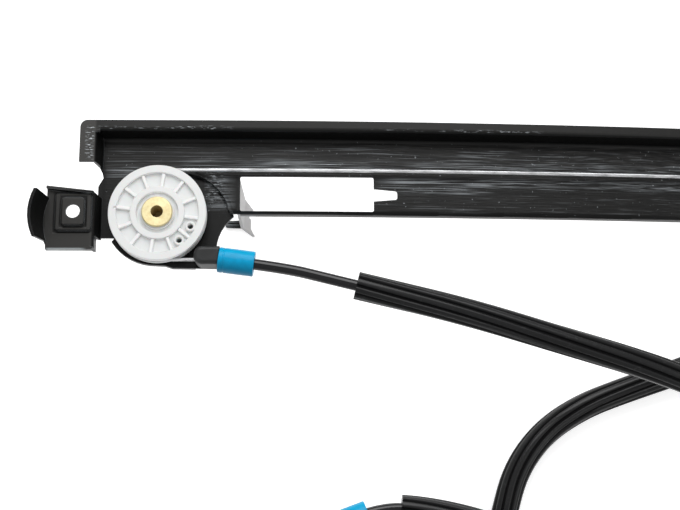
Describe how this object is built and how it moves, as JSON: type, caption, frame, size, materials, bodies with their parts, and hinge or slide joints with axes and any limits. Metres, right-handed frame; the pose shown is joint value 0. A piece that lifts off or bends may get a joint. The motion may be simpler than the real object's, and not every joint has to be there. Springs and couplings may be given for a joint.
{
  "type": "window regulator",
  "caption": "Cable window regulator: curved black stamped rail with a pulley at each end, a glass carrier, sleeved cable conduits and a separate cable drum housing.",
  "frame": {"origin": "the upper pulley's axis, in the bore of its hollow rivet, at the height of the rail web's top face", "axes": "+X along the rail towards its lower end, +Y towards the rail's walled edge, +Z out of the web on the pulleys' side"},
  "size_m": [0.6139, 0.2853, 0.0926],
  "materials": {
    "rail_steel": "satin black electrocoat",
    "carrier_steel": "satin black electrocoat",
    "pulley_plastic": "moulded, off-white",
    "brass": "satin",
    "steel": "bright zinc",
    "blue_plastic": "moulded, bright blue",
    "black_plastic": "moulded, black",
    "conduit_plastic": "extruded, glossy black",
    "rubber": "soft, dark grey"
  },
  "bodies": {
    "rail_and_housing": {"guide_rail": "rail_steel", "lower_standoff": "rail_steel", "upper_pulley_rivet": "brass", "lower_pulley_rivet": "brass", "upper_cable": "steel", "lower_cable": "steel", "mounting_bushes": "steel", "standoff_rivets": "steel", "cover_screws": "steel", "upper_takeup_spring": "steel", "lower_takeup_spring": "steel", "drum_takeup_spring_a": "steel", "drum_takeup_spring_b": "steel", "upper_spring_sleeve": "blue_plastic", "lower_spring_sleeve": "blue_plastic", "drum_spring_sleeve_a": "blue_plastic", "drum_spring_sleeve_b": "blue_plastic", "upper_conduit_stop": "black_plastic", "lower_conduit_stop": "black_plastic", "drum_housing": "black_plastic", "drum_cover": "black_plastic", "upper_conduit": "conduit_plastic", "lower_conduit": "conduit_plastic", "upper_fluted_sleeve": "rubber", "lower_fluted_sleeve": "rubber", "stop_buffer": "rubber"},
    "upper_pulley_wheel": {"upper_pulley": "pulley_plastic"},
    "lower_pulley_wheel": {"lower_pulley": "pulley_plastic"},
    "drum": {"cable_drum": "pulley_plastic", "drive_insert": "steel"},
    "carrier": {"carrier_plate": "carrier_steel", "upper_shoe_front": "black_plastic", "upper_shoe_rear": "black_plastic", "lower_shoe": "black_plastic", "cable_holder": "black_plastic", "upper_cable_nipple": "steel", "lower_cable_nipple": "steel", "clamp_base": "black_plastic", "inner_jaw_pad": "rubber", "outer_jaw_pad": "rubber", "clamp_plate": "carrier_steel", "clamp_bolt": "steel", "clamp_nut": "steel"}
  },
  "joints": [
    {"name": "carrier_travel", "type": "hinge", "parent": "rail_and_housing", "child": "carrier", "pos_m": [0.03, 0, -3], "axis": [0, 1, 0], "range_deg": [-6.11, 0]},
    {"name": "upper_pulley_spin", "type": "hinge", "parent": "rail_and_housing", "child": "upper_pulley_wheel", "pos_m": [0, 0, 0], "axis": [0, 0, 1], "range_deg": [0, 756]},
    {"name": "lower_pulley_spin", "type": "hinge", "parent": "rail_and_housing", "child": "lower_pulley_wheel", "pos_m": [0.46845, 0, -0.03206], "axis": [0.1362, 0, 0.9907], "range_deg": [0, 756]},
    {"name": "drum_spin", "type": "hinge", "parent": "rail_and_housing", "child": "drum", "pos_m": [0.0735, -0.19, 0], "axis": [0, 0, 1], "range_deg": [0, 835]}
  ],
  "couplings": [
    {"joint": "upper_pulley_spin", "follows": "carrier_travel", "ratio": -123.65},
    {"joint": "lower_pulley_spin", "follows": "carrier_travel", "ratio": -123.65},
    {"joint": "drum_spin", "follows": "carrier_travel", "ratio": -136.57}
  ]
}
